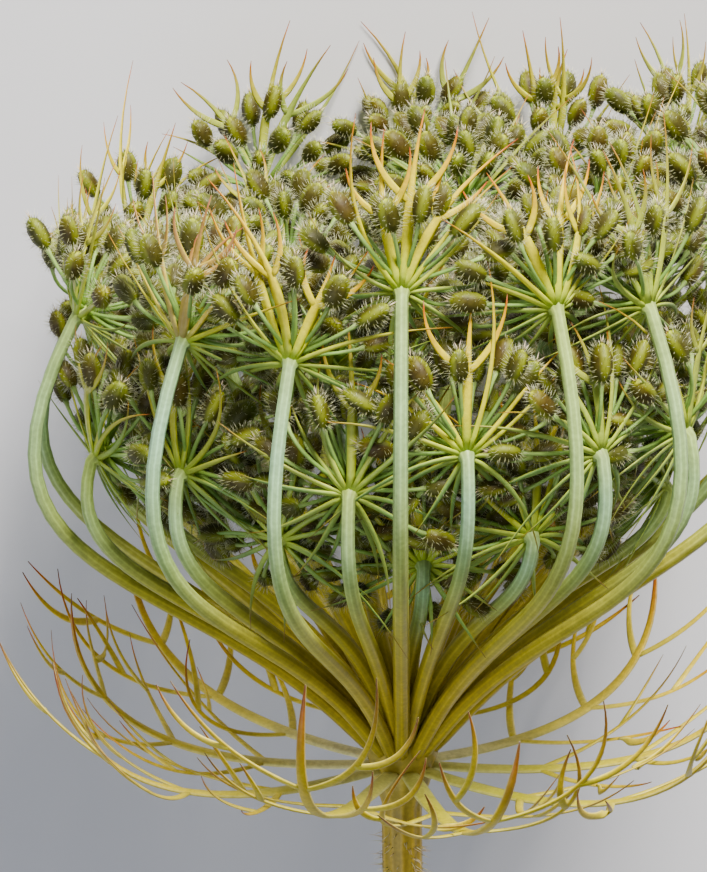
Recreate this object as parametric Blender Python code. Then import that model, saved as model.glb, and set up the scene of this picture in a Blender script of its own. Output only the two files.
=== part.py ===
"""Wild carrot seed head, picked with a short stem and lying on its side.

The head is described about its own axis. An azimuth goes round the axis, a radius is measured from it, and a
height is measured from the receptacle, where the rays and the bracts leave the stem. Azimuth 0 is the side that
faces up and azimuth 90 faces +X. Sizes are in millimetres and degrees, and the meshes are written in metres.
"""

import math

import bpy
import numpy as np

MM = 0.001
SEED = 7

# How the head lies
LYING_TILT = -3.0  # the open end of the head is this much lower than level
AXIS_HEIGHT = 32.5  # from the surface to the receptacle
SOFTNESS = 0.3  # how gently a limb bends where it meets the surface

# Stem and receptacle: a grooved stem, a neck that swells, and the dome that carries the rays
STEM_LENGTH = 44.0
STEM_RADIUS = 1.72
STEM_GROOVE = 0.14
STEM_CORNERS = 12
STEM_BOW = 1.2
CUT_EDGE = 0.5  # the cut end is rounded over this length
CUT_RADIUS = 1.62
NECK_RINGS = ((-5.0, 1.79), (-2.9, 2.6), (-1.7, 2.7), (-0.4, 3.15))  # height and radius
DOME_RADIUS = 3.35
DOME_RINGS = (25, 55)  # latitudes on the dome

# Rays: how thick they are at their foot, above it, in the middle and at their tip
RAY_FOOT_RADIUS = 3.9  # from the middle of the dome
RAY_STRAIGHT = 3.5  # how far it aims straight out of the dome
RAY_THICKNESS = (0.40, 0.43, 0.66, 0.56)
RAY_THICKNESS_AT = (0, 0.15, 0.38, 1)
RAY_CORNERS = 5
RAY_STEPS = 7

# Each tier of rays. What a ray of it passes by is given as shares of the radius and the height of its tip.
# foot is the polar angle of the feet on the dome, out the one they aim at, and face how far umbellets lean inwards.
TIERS = {
    "rim": dict(count=14, foot=82, out=50, knee=((0.55, 0.49), (1.49, 0.37)), radius=28.2, height=43.0, face=50),
    "wall": dict(count=12, foot=61, out=46, knee=((0.54, 0.60), (1.13, 0.60)), radius=27.5, height=31.5, face=62),
    "low": dict(count=8, foot=40, out=36, knee=((0.42, 0.68), (0.94, 0.68)), radius=22.5, height=24.5, face=62),
    "inner": dict(count=6, foot=21, out=20, knee=((0.35, 0.36), (0.82, 0.70)), radius=16.5, height=41.0, face=20),
    "heart": dict(count=1, foot=0, out=2, knee=((0.35, 0.36), (0.82, 0.70)), radius=1.0, height=35.0, face=2),
}
# The rays that face up, by tier: azimuth, radius and height of the tip. The others are spread over the rest.
FACING_RAYS = {
    "rim": (
        (-73, 28.5, 40.5),
        (-39, 28.5, 42.0),
        (-19, 28.5, 41.5),
        (-1, 28.0, 47.5),
        (25, 28.0, 45.5),
        (43, 28.5, 44.5),
    ),
    "wall": (
        (-65, 28.5, 29.5),
        (-45, 26.0, 30.0),
        (-10, 26.5, 30.5),
        (10, 27.5, 34.0),
        (34, 28.0, 33.0),
        (54, 28.5, 33.0),
    ),
    "low": ((-27, 23.0, 25.0), (4, 21.0, 23.0), (26, 23.5, 25.5)),
    "inner": ((40, 19.0, 44.0),),
    "heart": (),
}
TIP_SCATTER = (3.0, 0.7, 1.6)  # azimuth, radius and height, for the rays placed by the rule
# The head's mouth is askew: these rise by a sine of their azimuth less the turn, so its right back stands highest.
MOUTH_RISE = {"rim": 4.5, "wall": 2.0, "low": 0.0, "inner": 4.0, "heart": 0.0}
MOUTH_TURN = 20
SWUNG_RAYS = {("wall", 8): 3, ("low", 3): 3}  # how far the foot of a ray stands aside for its neighbour's

# Umbellets: the swollen node at a ray's tip, with a whorl of bracteoles and two whorls of fruits on their stalks
NODE_RINGS = ((0.9, 1.12), (1.7, 0.98), (2.25, 0.5))  # distance past the tip, and radius
NODE_MIDDLE = 1.3
NODE_REACH = 2.4  # so near the node's middle, its own limbs may touch
BRACTEOLES = 4
BRACTEOLE_LENGTH = (12.0, 7.0)  # the uppermost, and the lowest
BRACTEOLE_POLAR = (50, 102)  # the least of the uppermost ones, and that of the lowest
BRACTEOLE_OUTWARDS = 4  # how far the uppermost ones lean out of the head
BRACTEOLE_HALF = (0.30, 0.46)  # half its thickness, and half its width
BRACTEOLE_BEND = 0.10
SIMPLE_SHARES = (0.2, 0.62)
FORKED_SHARES = (0.16, 0.42, 0.56)
FORK_STRETCH = 2
FORK_SPREAD = 0.62
FORK_LENGTHS = (0.4, 0.28, 0.16)  # tried in turn, as shares of the bracteole
FORK_HALF = (0.30, 0.28)
FORK_REACH = 2.6
FRUITS = 7
FRUIT_LENGTH = 3.5
FRUIT_RADIUS = 1.3
FRUIT_RINGS = ((0.24, 0.92), (0.66, 1.0))  # share of its length, and of its radius
STALK_RADIUS = 0.38
OUTER_WHORL = dict(band=1, polar=74, stalk=5.4, inside=18)  # inside is how far it keeps inside what is round it
INNER_WHORL = dict(band=2, polar=36, stalk=4.2, inside=24)
SIDES_BY_TURN = (4, 0, 3, 1, 2)  # the upper side first

# Bracts: a flat midrib with lobes, which leaves under the dome and arches up round the head
BRACTS = 10
FIRST_BRACT = 14.0
BRACT_FOOT = (3.6, -1.75)
BRACT_LINE = ((14.0, -2.2), (32.5, -1.5), (33.5, 13.0))  # the curve's next three points, as radius and height
BRACT_SWEEP = (-14, 14)
BRACT_REACH = (0.86, 1.03)
BRACT_RISE = (-2.0, 3.5)
BRACT_HALF_THICKNESS = 0.32
BRACT_WIDTHS = (0.62, 0.72, 0.45, 0.35)  # half widths at its foot, above it, beyond its lobes and at its tip
BRACT_WIDTHS_AT = (0, 0.15, 0.7, 1)
BRACT_STEPS = 9
BRACT_FORKS = (2, 4, 6)  # the stretches of the midrib that carry a pair of lobes
LOBE_HALF = (0.30, 0.42)
LOBE_SHARES = (0.12, 0.4, 0.7, 1.0)
LOBE_TAPER = (1.0, 0.9, 0.7)
LOBE_LENGTH = (13, 21)
LOBE_SPREAD = (28, 48)
LOBE_RISE = 0.45
LOBE_REACH = 4.0
TOOTH_LENGTH = 1.0

# How room is found: small turns and other lengths are tried until a limb misses all others
PIECE = 1.5
GAP = 0.2
NEIGHBOUR_REACH = 6.0  # nothing that starts further away than this past a limb's length can touch it
TURNS_TRIED = sorted(
    ((turned, raised) for turned in range(-30, 31, 10) for raised in range(-20, 31, 10)),
    key=lambda turns: math.hypot(*turns),
)
LENGTHS_TRIED = (1.0, 0.86, 1.14)
LOBE_TURNS_TRIED = (0, 8, -8, 16, -14, 24)
LOBE_LENGTHS_TRIED = (1.0, 0.75, 0.5)

COLOURS = {
    "stem": (0.60, 0.55, 0.25),
    "bract": (0.66, 0.60, 0.16),
    "umbellet": (0.42, 0.46, 0.16),
}
ROUGHNESS = {"stem": 0.55, "bract": 0.5, "umbellet": 0.6}


def unit(vector):
    return np.asarray(vector, float) / max(np.linalg.norm(vector), 1e-12)


def flat_to(vector, axis):
    """The part of a vector that is square to an axis, as a unit vector."""
    return unit(vector - np.dot(vector, axis) * axis)


def tilted(vector):
    """Turns a direction or a point from the head's own frame, about X, by the tilt it lies at."""
    c, s = math.cos(math.radians(LYING_TILT)), math.sin(math.radians(LYING_TILT))
    x, y, z = vector
    return np.array([x, c * y - s * z, s * y + c * z])


def place(azimuth, radius, height):
    """A point of the head, as it lies."""
    a = math.radians(azimuth)
    return tilted((radius * math.sin(a), height, radius * math.cos(a))) + np.array([0, 0, AXIS_HEIGHT])


def heading(azimuth, out, along, sideways=0.0):
    """A direction at an azimuth, from its parts away from the axis, along it and sideways round it."""
    a = math.radians(azimuth)
    away, turn = np.array([math.sin(a), 0, math.cos(a)]), np.array([math.cos(a), 0, -math.sin(a)])
    return tilted(out * away + along * np.array([0, 1.0, 0]) + sideways * turn)


def lifted(line, radii):
    """A limb's line with what would sink into the surface laid on it: a smooth maximum of each height and radius."""
    line = np.array(line, float)
    over = (line[:, 2] - radii) / SOFTNESS
    line[:, 2] = radii + SOFTNESS * np.logaddexp(over, 0.0)
    return line


def bezier(points, shares):
    """Points of a curve at the given shares of it, by blending neighbouring guide points until one is left."""
    t = np.asarray(shares)[:, None]
    rows = [np.asarray(p, float) + 0 * t for p in points]
    while len(rows) > 1:
        rows = [(1 - t) * p + t * q for p, q in zip(rows, rows[1:])]
    return rows[0]


def cut_short(line, radii):
    """A limb as short straight pieces: their starts, their ends and the larger radius of each."""
    line = np.asarray(line, float)
    along = np.append(0, np.cumsum(np.linalg.norm(np.diff(line, axis=0), axis=1)))
    stops = np.unique(np.append(along, np.linspace(0, along[-1], int(along[-1] / PIECE) + 2)).round(3))
    points = np.stack([np.interp(stops, along, line[:, axis]) for axis in range(3)], axis=1)
    thick = np.interp(stops, along, radii)
    return points[:-1], points[1:], np.maximum(thick[:-1], thick[1:])


def distances(starts, ends, other_starts, other_ends):
    """The least distance of each straight piece from each of the others, as a table."""
    u, v = (ends - starts)[:, None], (other_ends - other_starts)[None]
    w = starts[:, None] - other_starts[None]
    a, b, c = (u * u).sum(-1), (u * v).sum(-1), (v * v).sum(-1)
    d, e = (u * w).sum(-1), (v * w).sum(-1)
    s = np.clip((b * e - c * d) / np.maximum(a * c - b * b, 1e-9), 0, 1)
    t = np.clip((b * s + e) / c, 0, 1)
    s = np.clip((b * t - d) / a, 0, 1)
    return np.linalg.norm(w + s[..., None] * u - t[..., None] * v, axis=-1)


class Room:
    """The space that limbs already take, as short straight pieces with a radius and an owner."""

    def __init__(self):
        self.starts, self.ends = np.empty((0, 3)), np.empty((0, 3))
        self.radii, self.owners = np.empty(0), np.empty(0, int)

    def take(self, owner, line, radii):
        starts, ends, thick = cut_short(line, radii)
        self.starts, self.ends = np.vstack([self.starts, starts]), np.vstack([self.ends, ends])
        self.radii = np.append(self.radii, thick)
        self.owners = np.append(self.owners, np.full(len(starts), owner))

    def is_clear(self, owner, line, radii, root, reach):
        """Whether a limb misses all others. Within reach of its root it may meet the other limbs of its owner."""
        starts, ends, thick = cut_short(line, radii)
        length = np.linalg.norm(ends - starts, axis=1).sum()
        near = np.linalg.norm(self.starts - starts[0], axis=1) < length + NEIGHBOUR_REACH
        others = self.starts[near], self.ends[near]
        touching = distances(starts, ends, *others) < thick[:, None] + self.radii[near] + GAP
        at_root = np.linalg.norm(ends - root, axis=1) < reach
        ways_off = [np.linalg.norm(points - root, axis=1) for points in others]
        kin_at_root = (np.minimum(*ways_off) < reach) & (self.owners[near] == owner)
        return not (touching & ~(at_root[:, None] & kin_at_root)).any()


class Skin:
    """One closed surface, grown ring by ring. A ring runs anticlockwise, seen from the way it grows."""

    def __init__(self):
        self.points, self.faces = [], []

    def ring(self, points):
        first = len(self.points)
        self.points += [np.asarray(p, float) for p in points]
        return list(range(first, len(self.points)))

    def band(self, lower, upper, left_open=()):
        """Joins two rings, and returns the faces left open as roots for further limbs."""
        roots = {}
        n = len(lower)
        for i in range(n):
            face = (lower[i], lower[(i + 1) % n], upper[(i + 1) % n], upper[i])
            if i in left_open:
                roots[i] = face
            else:
                self.faces.append(face)
        return roots

    def tip(self, ring, point):
        top = self.ring([point])[0]
        n = len(ring)
        self.faces += [(ring[i], ring[(i + 1) % n], top) for i in range(n)]

    def centre(self, ring):
        return np.mean([self.points[i] for i in ring], axis=0)

    def grow(self, root, line, halves, forks=()):
        """Carries a four-cornered root along a line to a point.

        halves gives each ring's half sizes, first towards the root's first edge and then towards its second. The
        sides of the stretches named in forks stay open, and come back as {(stretch, side): root}."""
        start = self.centre(root)
        second = self.centre(root[1:3]) - start
        ring, centres, roots = list(root), [start, *line], {}
        for k, (first_half, second_half) in enumerate(halves):
            along = unit(centres[k + 2] - centres[k])
            second = flat_to(second, along)
            first = np.cross(second, along)
            c, f, s = centres[k + 1], first_half * first, second_half * second
            upper = self.ring([c + f - s, c + f + s, c - f + s, c - f - s])
            opened = self.band(ring, upper, (1, 3) if k in forks else ())
            roots.update({(k, side): face for side, face in opened.items()})
            ring = upper
        self.tip(ring, centres[-1])
        return roots

    def to_object(self, name, kind):
        """The surface as an object of its own, with the material of its kind of piece."""
        mesh = bpy.data.meshes.new(name)
        mesh.from_pydata([tuple(MM * p) for p in self.points], [], self.faces)
        mesh.validate()
        mesh.shade_smooth()
        mesh.set_sharp_from_angle(angle=math.radians(50))
        material = bpy.data.materials.get(kind) or bpy.data.materials.new(kind)
        material.use_nodes = True
        shader = material.node_tree.nodes["Principled BSDF"]
        shader.inputs["Base Color"].default_value = (*COLOURS[kind], 1.0)
        shader.inputs["Roughness"].default_value = ROUGHNESS[kind]
        mesh.materials.append(material)
        made = bpy.data.objects.new(name, mesh)
        bpy.context.scene.collection.objects.link(made)
        return made


def stem_skin(room):
    """The grooved stem, its neck and the dome that carries the rays, down to a plain cut end."""
    skin = Skin()
    profile = [(-STEM_LENGTH, CUT_RADIUS), (CUT_EDGE - STEM_LENGTH, STEM_RADIUS)]
    profile += [(-STEM_LENGTH * share, STEM_RADIUS) for share in (0.75, 0.5, 0.25)]
    profile += NECK_RINGS
    for latitude in DOME_RINGS:
        angle = math.radians(latitude)
        profile.append((DOME_RADIUS * math.sin(angle), DOME_RADIUS * math.cos(angle)))
    rings = []
    for height, radius in profile:
        bow = np.array([STEM_BOW * (height / STEM_LENGTH) ** 2, 0, 0])
        groove = STEM_GROOVE if height <= NECK_RINGS[0][0] else 0.0
        turns = [360 * i / STEM_CORNERS for i in range(STEM_CORNERS)]
        rings.append(skin.ring(place(turn, radius - groove * (i % 2), height) + bow for i, turn in enumerate(turns)))
    for lower, upper in zip(rings, rings[1:]):
        skin.band(lower, upper)
    skin.tip(rings[-1], place(0, 0, DOME_RADIUS))
    skin.tip(rings[0][::-1], place(0, 0, -STEM_LENGTH) + np.array([STEM_BOW, 0, 0]))
    line = [place(0, 0, -STEM_LENGTH), place(0, 0, NECK_RINGS[1][0])]
    room.take(0, line, np.full(2, STEM_RADIUS + STEM_BOW))
    return skin


def tips_of(tier, rng):
    """The azimuth, radius and height of the tip of each ray of a tier, first of those that face up."""
    rule, facing = TIERS[tier], FACING_RAYS[tier]
    rest = rule["count"] - len(facing)
    first = facing[-1][0] if facing else 0
    step = (360 - (first - facing[0][0] if facing else 0)) / (rest + 1 if facing else rest)
    tips = [np.array(tip, float) for tip in facing]
    for i in range(rest):
        azimuth = first + step * (i + 1)
        rise = MOUTH_RISE[tier] * math.sin(math.radians(azimuth - MOUTH_TURN))
        usual = np.array([azimuth, rule["radius"], rule["height"] + rise])
        tips.append(usual + rng.uniform(-1, 1, 3) * TIP_SCATTER)
    return tips


def ray_line(tier, number, tip, radii):
    """A ray's line from the dome to its tip. A swing takes its foot, and with it its lower half, to one side."""
    rule, (azimuth, radius, height) = TIERS[tier], tip
    foot, out = math.radians(rule["foot"]), math.radians(rule["out"])
    start = RAY_FOOT_RADIUS * np.array([math.sin(foot), math.cos(foot)])
    after = start + RAY_STRAIGHT * np.array([math.sin(out), math.cos(out)])
    guides = [(radius * r, height * h) for r, h in rule["knee"]]
    shares = np.linspace(0, 1, len(radii))
    outline = bezier([start, after, *guides, (radius, height)], shares)
    azimuths = azimuth + SWUNG_RAYS.get((tier, number), 0) * (1 - shares) ** 2
    return lifted([place(a, r, h) for a, (r, h) in zip(azimuths, outline)], radii)


class Umbellet:
    """One ray with the umbellet at its tip. Its five sides are numbered round its axis, and side 4 is uppermost."""

    def __init__(self, owner, tier, number, tip, room):
        self.name = f"umbellet_{tier}_{number:02d}"
        self.owner, self.tier, self.room = owner, tier, room
        self.rng = np.random.default_rng([SEED, owner])
        self.skin = Skin()
        face = math.radians(TIERS[tier]["face"])
        self.axis = heading(tip[0], -math.sin(face), math.cos(face))
        self.upper_side = heading(tip[0], math.cos(face), math.sin(face))
        self.radii = np.interp(np.linspace(0, 1, RAY_STEPS + 1), RAY_THICKNESS_AT, RAY_THICKNESS)
        self.line = ray_line(tier, number, tip, self.radii)
        self.tip = self.line[-1]
        self.middle = self.tip + NODE_MIDDLE * self.axis
        top = self.tip + NODE_RINGS[1][0] * self.axis
        room.take(owner, np.vstack([self.line, top]), np.append(self.radii, NODE_RINGS[0][1]))
        self.roots = self.grow_ray()
        self.bracteoles = 0
        self.fruits = 0

    def ring_at(self, centre, along, radius):
        """Five corners round a line, with the middle of the last side on the umbellet's upper side."""
        out = flat_to(self.upper_side, along)
        side = np.cross(along, out)
        turns = [2 * math.pi * (i + 0.5) / RAY_CORNERS for i in range(RAY_CORNERS)]
        return self.skin.ring([centre + radius * (math.cos(t) * out + math.sin(t) * side) for t in turns])

    def grow_ray(self):
        """The ray and its swollen node. Returns the faces of the node's three bands, by band and side."""
        line, skin = self.line, self.skin
        rings = []
        for i, centre in enumerate(line):
            ahead, behind = line[min(i + 1, len(line) - 1)], line[max(i - 1, 0)]
            rings.append(self.ring_at(centre, unit(ahead - behind), self.radii[i]))
        for lower, upper in zip(rings, rings[1:]):
            skin.band(lower, upper)
        skin.faces.append(tuple(reversed(rings[0])))
        roots, ring = {}, rings[-1]
        for band, (distance, radius) in enumerate(NODE_RINGS):
            upper = self.ring_at(self.tip + distance * self.axis, self.axis, radius)
            opened = skin.band(ring, upper, range(RAY_CORNERS))
            roots.update({(band, side): face for side, face in opened.items()})
            ring = upper
        skin.faces.append(tuple(ring))
        return roots

    def way(self, side, polar, turned):
        """The direction of a limb that leaves one of the five sides at a polar angle from the umbellet's axis."""
        psi = 2 * math.pi * (side + 1) / RAY_CORNERS + math.radians(turned)
        across = math.cos(psi) * self.upper_side + math.sin(psi) * np.cross(self.axis, self.upper_side)
        polar = math.radians(polar)
        return math.cos(polar) * self.axis + math.sin(polar) * across

    def upperness(self, side):
        """1 for the side that faces up and out of the head, and 0 for the lowest one."""
        return 0.5 + 0.5 * math.cos(2 * math.pi * (side + 1) / RAY_CORNERS)

    def bracteole_polar(self, side):
        """The polar angle of a side's bracteole: the upper ones stand up along the head, the lower ones hang."""
        upright = max(TIERS[self.tier]["face"] + BRACTEOLE_OUTWARDS, BRACTEOLE_POLAR[0])
        return BRACTEOLE_POLAR[1] + (upright - BRACTEOLE_POLAR[1]) * self.upperness(side)

    def add_bracteole(self, side):
        """A narrow tapered bracteole, forked in three on the upper side of a rim umbellet."""
        root = self.roots[0, side]
        start, up = self.skin.centre(root), self.upperness(side)
        usual = BRACTEOLE_LENGTH[1] + (BRACTEOLE_LENGTH[0] - BRACTEOLE_LENGTH[1]) * up
        usual *= self.rng.uniform(0.88, 1.12)
        forked = self.tier == "rim" and side == SIDES_BY_TURN[0]
        shares = np.array([0, *(FORKED_SHARES if forked else SIMPLE_SHARES), 1.0])
        thick, wide = BRACTEOLE_HALF
        halves = [(thick, wide)] * (len(shares) - 2)
        radii = np.append(np.full(len(shares) - 1, math.hypot(thick, wide)), thick)
        for turned, raised in TURNS_TRIED:
            for scale in LENGTHS_TRIED:
                length = usual * scale
                way = self.way(side, self.bracteole_polar(side) - raised, turned)
                bend = BRACTEOLE_BEND * (self.axis if up > 0.5 else -self.upper_side)
                line = lifted(start + length * (shares[:, None] * way + shares[:, None] ** 2 * bend), radii)
                if self.room.is_clear(self.owner, line, radii, self.middle, NODE_REACH):
                    self.room.take(self.owner, line, radii)
                    open_sides = self.skin.grow(root, line[1:], halves, (FORK_STRETCH,) if forked else ())
                    self.fork(open_sides.values(), line, length)
                    self.bracteoles += 1
                    del self.roots[0, side]
                    return

    def fork(self, roots, line, length):
        """The two side lobes of a forked bracteole. One that would hit something is left a short tooth."""
        below, above = line[FORK_STRETCH], line[FORK_STRETCH + 1]
        for root in roots:
            start = self.skin.centre(root)
            away = flat_to(start - (below + above) / 2, unit(above - below))
            way = unit(unit(above - below) + FORK_SPREAD * away)
            radii = np.full(3, math.hypot(*FORK_HALF))
            for share in FORK_LENGTHS:
                lobe = lifted(start + length * share * np.array([[0.0], [0.5], [1.0]]) * way, radii)
                if self.room.is_clear(self.owner, lobe, radii, start, FORK_REACH):
                    break
            self.room.take(self.owner, lobe, radii)
            self.skin.grow(root, lobe[1:], [FORK_HALF])

    def add_fruit(self, whorl, side):
        """A fruit on its stalk. The fruit is as wide as its coat of bristles makes it look."""
        root = self.roots[whorl["band"], side]
        start = self.skin.centre(root)
        inside = self.bracteole_polar(side) - OUTER_WHORL["inside"]
        if whorl is INNER_WHORL:
            inside -= INNER_WHORL["inside"]
        polar = min(whorl["polar"], inside)
        usual = whorl["stalk"] * self.rng.uniform(0.85, 1.15)
        shares, sizes = np.array([(0, 0), *FRUIT_RINGS, (1, FRUIT_RINGS[0][1])]).T
        radii = np.append(STALK_RADIUS, np.maximum(FRUIT_RADIUS * sizes, STALK_RADIUS))
        for turned, raised in TURNS_TRIED:
            for scale in LENGTHS_TRIED:
                reaches = np.append(0, usual * scale + FRUIT_LENGTH * shares)
                line = start + reaches[:, None] * self.way(side, polar - raised, turned)
                line = lifted(line, np.where(reaches > usual * scale, FRUIT_RADIUS, radii))
                if self.room.is_clear(self.owner, line, radii, self.middle, NODE_REACH):
                    self.room.take(self.owner, line, radii)
                    self.skin.grow(root, line[1:], [(radius / math.sqrt(2),) * 2 for radius in radii[1:-1]])
                    self.fruits += 1
                    del self.roots[whorl["band"], side]
                    return

    def finished(self):
        """The object, once the faces that carry nothing are plain faces of the node."""
        self.skin.faces += list(self.roots.values())
        return self.skin.to_object(self.name, "umbellet")


def bract_skin(owner, index, room):
    """One bract: a flat midrib on an arching line, with pairs of narrow lobes that rise beside it."""
    rng = np.random.default_rng([SEED, owner])
    skin = Skin()
    azimuth = FIRST_BRACT + 360 * index / BRACTS
    sweep, reach, rise = rng.uniform(*BRACT_SWEEP), rng.uniform(*BRACT_REACH), rng.uniform(*BRACT_RISE)
    shares = np.linspace(0, 1, BRACT_STEPS + 1)
    outline = bezier([BRACT_FOOT, *BRACT_LINE], shares)
    outline[:, 0] = BRACT_FOOT[0] + (outline[:, 0] - BRACT_FOOT[0]) * reach
    outline[:, 1] += rise * shares**2
    thick, widths = BRACT_HALF_THICKNESS, np.interp(shares, BRACT_WIDTHS_AT, BRACT_WIDTHS)
    radii = np.hypot(thick, widths)
    line = lifted([place(azimuth + sweep * s * s, r, h) for s, (r, h) in zip(shares, outline)], radii)
    room.take(owner, line, radii)
    along = unit(line[1] - line[0])
    flat = flat_to(heading(azimuth, 0, 0, 1), along)
    f, s = thick * np.cross(flat, along), widths[0] * flat
    root = skin.ring([line[0] + f - s, line[0] + f + s, line[0] - f + s, line[0] - f - s])
    skin.faces.append(tuple(reversed(root)))
    open_sides = skin.grow(root, line[1:], [(thick, width) for width in widths[1:-1]], BRACT_FORKS)
    for (stretch, _), lobe_root in sorted(open_sides.items()):
        grow_lobe(skin, lobe_root, owner, line, stretch, room, rng)
    return skin


def grow_lobe(skin, root, owner, line, stretch, room, rng):
    """A lobe leaves the midrib sideways, runs beside it and turns up. One with no room is left a tooth."""
    start = skin.centre(root)
    along = unit(line[stretch + 1] - line[stretch])
    away = flat_to(start - (line[stretch] + line[stretch + 1]) / 2, along)
    usual = rng.uniform(*LOBE_LENGTH) * (1.15 - 0.07 * stretch)
    spread = rng.uniform(*LOBE_SPREAD)
    thick, wide = LOBE_HALF
    widths = wide * np.array(LOBE_TAPER)
    shares = np.array([0, *LOBE_SHARES])[:, None]
    radii = np.hypot(thick, np.array([wide, *widths, widths[-1]]))
    for scale in LOBE_LENGTHS_TRIED:
        for turned in LOBE_TURNS_TRIED:
            angle = math.radians(spread + turned)
            way = math.cos(angle) * along + math.sin(angle) * away
            lobe = lifted(start + usual * scale * (shares * way + LOBE_RISE * shares**2.2 * tilted((0, 1, 0))), radii)
            if room.is_clear(owner, lobe, radii, start, LOBE_REACH):
                room.take(owner, lobe, radii)
                skin.grow(root, lobe[1:], [(width, thick) for width in widths])
                return
    tooth = start + TOOTH_LENGTH * unit(along + away)
    skin.grow(root, [(start + tooth) / 2, tooth], [(widths[-1], thick)])


def settle(objects):
    """Moves the whole head so that its box stands on the surface with its middle over the origin."""
    corners = np.array([v.co for made in objects for v in made.data.vertices])
    low, high = corners.min(0), corners.max(0)
    shift = np.array([-(low[0] + high[0]) / 2, -(low[1] + high[1]) / 2, -low[2]])
    for made in objects:
        made.location = shift


def main():
    for old in list(bpy.data.objects):
        bpy.data.objects.remove(old, do_unlink=True)
    room = Room()
    made = [stem_skin(room).to_object("stem", "stem")]
    rng = np.random.default_rng(SEED)
    tips = [(tier, i + 1, tip) for tier in TIERS for i, tip in enumerate(tips_of(tier, rng))]
    umbellets = [Umbellet(n + 1, *tip, room) for n, tip in enumerate(tips)]
    bracts = [bract_skin(len(umbellets) + 1 + i, i, room) for i in range(BRACTS)]
    # A limb is added to every umbellet in turn, so that none is crowded out by its neighbours.
    for side in SIDES_BY_TURN:
        for umbellet in umbellets:
            if umbellet.bracteoles < BRACTEOLES:
                umbellet.add_bracteole(side)
        for umbellet in umbellets:
            umbellet.add_fruit(OUTER_WHORL, side)
    for side in SIDES_BY_TURN:
        for umbellet in umbellets:
            if umbellet.fruits < FRUITS:
                umbellet.add_fruit(INNER_WHORL, side)
    made += [umbellet.finished() for umbellet in umbellets]
    made += [skin.to_object(f"bract_{i + 1:02d}", "bract") for i, skin in enumerate(bracts)]
    settle(made)


main()
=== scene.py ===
import bpy
import numpy as np
from mathutils import Matrix, Vector


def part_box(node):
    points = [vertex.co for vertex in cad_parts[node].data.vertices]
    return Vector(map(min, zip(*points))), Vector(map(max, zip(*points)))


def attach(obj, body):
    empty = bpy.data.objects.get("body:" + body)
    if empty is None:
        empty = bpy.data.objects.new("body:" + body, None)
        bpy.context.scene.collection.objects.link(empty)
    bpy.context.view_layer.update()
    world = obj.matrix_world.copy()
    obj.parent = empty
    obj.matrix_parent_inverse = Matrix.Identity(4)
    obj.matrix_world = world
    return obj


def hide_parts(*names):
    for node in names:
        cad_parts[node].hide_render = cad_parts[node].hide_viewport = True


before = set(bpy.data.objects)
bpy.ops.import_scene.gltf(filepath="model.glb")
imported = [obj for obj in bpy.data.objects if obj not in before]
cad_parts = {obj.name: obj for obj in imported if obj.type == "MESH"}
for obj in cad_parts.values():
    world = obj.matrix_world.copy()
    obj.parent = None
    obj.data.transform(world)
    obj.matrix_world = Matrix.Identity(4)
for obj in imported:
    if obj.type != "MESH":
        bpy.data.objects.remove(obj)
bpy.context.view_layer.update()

# The stem: one stalk, ribbed and bristly, cut off square below, which swells at its top into the dome that
# carries the rays. The rest is placed from the middle of that dome, in millimetres and degrees: by an azimuth
# round the head's axis (0 faces up, 90 faces +X), a radius from that axis and a height above the dome.
MM = 0.001
SEED = 7
LYING_TILT = -3.0
STEM_LENGTH = 44.0
STEM_RADIUS = 1.72
STEM_BOW = 1.2
CUT_AT = STEM_LENGTH - 0.5
NECK = -5.0
DOME_RADIUS = 3.35
DOME_TOP = 3.3
STEM_RADII = (1.6, STEM_RADIUS, 1.79, 2.6, 2.7, 3.15, 3.2, 2.75, 1.9, 1.25, 0.5)
STEM_RADII_AT = (-STEM_LENGTH, -CUT_AT, NECK, -2.9, -1.7, -0.4, 0.8, 1.9, 2.75, 3.1, DOME_TOP)
STEM_STEPS = 90
STEM_STEPS_AT = (0, 0.008, 0.8, 1)
STEM_CORNERS = 66
STEM_RIBS = 11
STEM_RIB_HEIGHT = 0.11
STEM_RIB_FADE = 4
STEM_BRISTLES = 760
STEM_BRISTLE_LENGTH = (0.7, 1.7)
STEM_BRISTLE_THICKNESS = 0.055
STEM_BRISTLE_ROOT = 0.93
STEM_BRISTLE_RISE = (-0.55, 0.1)
STEM_BRISTLE_TURN = (-0.3, 0.3)
BRISTLED_SHARE = 0.86
BRISTLES_CROWD = 0.8
BRISTLES_TO_CUT = 0.4
BRISTLES_TO_DOME = 3
MOTTLE_SPREAD = (0.75, 1.25)
MOTTLE_SHADES = (0.45, 1.35)
# The colour and share of the painted shade in the grooves between ribs.
GROOVE_SHADE_COLOUR = (70, 74, 10)
GROOVE_SHADE_SHARE = 0.3
MARGIN_SHARE = 0.5
RELIEF_DEPTH = 0.08 * MM
SHINE = 0.3


def tilted(points):
    """Turns directions or points about X by the tilt the head lies at: y and z mix by its cosine and sine."""
    c, s = np.cos(np.radians(LYING_TILT)), np.sin(np.radians(LYING_TILT))
    x, y, z = np.moveaxis(np.asarray(points, float), -1, 0)
    return np.stack([x, c * y - s * z, s * y + c * z], axis=-1)


def receptacle():
    """The middle of the dome: the stem's box, less how far the dome and the cut end reach from it."""
    low, high = (np.array(corner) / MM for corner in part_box("stem"))
    c, s = np.cos(np.radians(LYING_TILT)), np.sin(np.radians(LYING_TILT))
    y = high[1] - c * DOME_RADIUS
    z = high[2] + s * CUT_AT - c * STEM_RADIUS
    return np.array([(low[0] + high[0]) / 2, y, z])


HOME = receptacle()


def place(azimuth, radius, height):
    """Points of the head as it lies, from arrays of azimuths, radii and heights."""
    a = np.radians(azimuth)
    parts = np.broadcast_arrays(radius * np.sin(a), height, radius * np.cos(a))
    return tilted(np.stack(parts, axis=-1)) + HOME


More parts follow.
